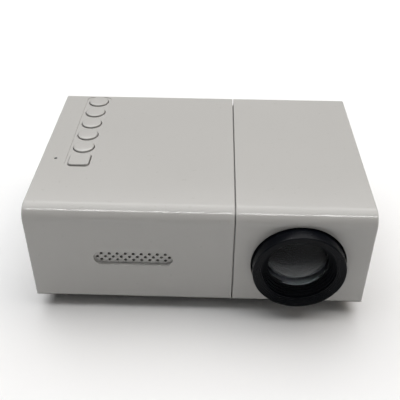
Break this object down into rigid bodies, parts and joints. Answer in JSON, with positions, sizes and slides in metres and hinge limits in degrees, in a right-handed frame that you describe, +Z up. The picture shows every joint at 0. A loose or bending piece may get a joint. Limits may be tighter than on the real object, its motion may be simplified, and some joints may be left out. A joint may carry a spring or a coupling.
{
  "type": "home projector",
  "caption": "Compact white home projector with a black focusing lens ring, top key row, front sound grille, side vents and rear sockets.",
  "frame": {"origin": "on the surface it stands on, under the middle of the whole object with its lens ring at rest", "axes": "+X to the right as seen from the lens side, +Y away from the viewer towards the rear sockets, +Z up; the lens looks along -Y"},
  "size_m": [0.126, 0.091, 0.0485],
  "materials": {
    "white_plastic": "fine-textured moulded ABS, slightly warm white",
    "key_plastic": "moulded ABS, the same warm white as the case",
    "ring_plastic": "polished black plastic",
    "black_plastic": "matt black plastic",
    "grey_plastic": "dark grey moulded plastic",
    "lens_glass": "polished coated glass",
    "clear_plastic": "clear acrylic",
    "mirror_glass": "front-silvered mirror",
    "panel_glass": "dark picture panel behind glass",
    "aluminium": "plain extruded aluminium",
    "socket_steel": "plated sheet steel",
    "screw_steel": "black-zinc steel",
    "brass": "turned brass",
    "rubber": "matt black rubber",
    "board": "green solder mask",
    "chip": "black epoxy",
    "cloth": "black acoustic cloth",
    "lead": "red insulated lead",
    "ribbon": "amber flexible circuit"
  },
  "bodies": {
    "projector_case": {"control_cover": "white_plastic", "lens_cover": "white_plastic", "left_end_panel": "white_plastic", "right_end_panel": "white_plastic", "base_plate": "white_plastic", "fan_frame": "black_plastic", "av_socket": "black_plastic", "audio_socket": "black_plastic", "dc_inlet": "black_plastic", "ir_receiver": "black_plastic", "speaker": "black_plastic", "light_box": "grey_plastic", "light_box_lid": "grey_plastic", "power_switch": "grey_plastic", "source_switch": "grey_plastic", "menu_switch": "grey_plastic", "left_switch": "grey_plastic", "right_switch": "grey_plastic", "play_switch": "grey_plastic", "condenser_lens": "lens_glass", "heat_glass": "lens_glass", "field_lens": "clear_plastic", "collimator_lens": "clear_plastic", "indicator_lens": "clear_plastic", "folding_mirror": "mirror_glass", "lcd_panel": "panel_glass", "heatsink": "aluminium", "lamp_module": "aluminium", "hdmi_socket": "socket_steel", "usb_socket": "socket_steel", "card_slot": "socket_steel", "case_screw_1": "screw_steel", "case_screw_2": "screw_steel", "case_screw_3": "screw_steel", "case_screw_4": "screw_steel", "tripod_insert": "brass", "front_left_foot": "rubber", "front_right_foot": "rubber", "rear_left_foot": "rubber", "rear_right_foot": "rubber", "mainboard": "board", "main_chip": "chip", "grille_cloth": "cloth", "fan_lead": "lead", "lamp_lead": "lead", "speaker_lead": "lead", "lcd_ribbon": "ribbon"},
    "power_key": {"power_key": "key_plastic"},
    "source_key": {"source_key": "key_plastic"},
    "menu_key": {"menu_key": "key_plastic"},
    "left_key": {"left_key": "key_plastic"},
    "right_key": {"right_key": "key_plastic"},
    "play_key": {"play_key": "key_plastic"},
    "fan_rotor": {"fan_rotor": "black_plastic"},
    "focus_slide": {"friction_ring": "grey_plastic"},
    "focus_barrel": {"lens_barrel": "ring_plastic", "front_lens": "lens_glass", "middle_lens": "lens_glass", "rear_lens": "lens_glass", "lens_retainer": "black_plastic"}
  },
  "joints": [
    {"name": "power_press", "type": "slide", "parent": "projector_case", "child": "power_key", "axis": [0, 0, -1], "range_m": [0, 0.0004], "stiffness_N_per_m": 1500, "springref_m": -0.0003},
    {"name": "source_press", "type": "slide", "parent": "projector_case", "child": "source_key", "axis": [0, 0, -1], "range_m": [0, 0.0004], "stiffness_N_per_m": 1500, "springref_m": -0.0003},
    {"name": "menu_press", "type": "slide", "parent": "projector_case", "child": "menu_key", "axis": [0, 0, -1], "range_m": [0, 0.0004], "stiffness_N_per_m": 1500, "springref_m": -0.0003},
    {"name": "left_press", "type": "slide", "parent": "projector_case", "child": "left_key", "axis": [0, 0, -1], "range_m": [0, 0.0004], "stiffness_N_per_m": 1500, "springref_m": -0.0003},
    {"name": "right_press", "type": "slide", "parent": "projector_case", "child": "right_key", "axis": [0, 0, -1], "range_m": [0, 0.0004], "stiffness_N_per_m": 1500, "springref_m": -0.0003},
    {"name": "play_press", "type": "slide", "parent": "projector_case", "child": "play_key", "axis": [0, 0, -1], "range_m": [0, 0.0004], "stiffness_N_per_m": 1500, "springref_m": -0.0003},
    {"name": "fan_spin", "type": "hinge", "parent": "projector_case", "child": "fan_rotor", "pos_m": [-0.0552, 0.0105, 0.0215], "axis": [1, 0, 0], "continuous": true},
    {"name": "focus_travel", "type": "slide", "parent": "projector_case", "child": "focus_slide", "axis": [0, -1, 0], "range_m": [-0.003, 0.005]},
    {"name": "focus_turn", "type": "hinge", "parent": "focus_slide", "child": "focus_barrel", "pos_m": [0.0368, -0.0315, 0.0253], "axis": [0, -1, 0], "range_deg": [-45, 75]}
  ],
  "couplings": [
    {"joint": "focus_travel", "follows": "focus_turn", "m_per_rad": 0.0038197}
  ]
}
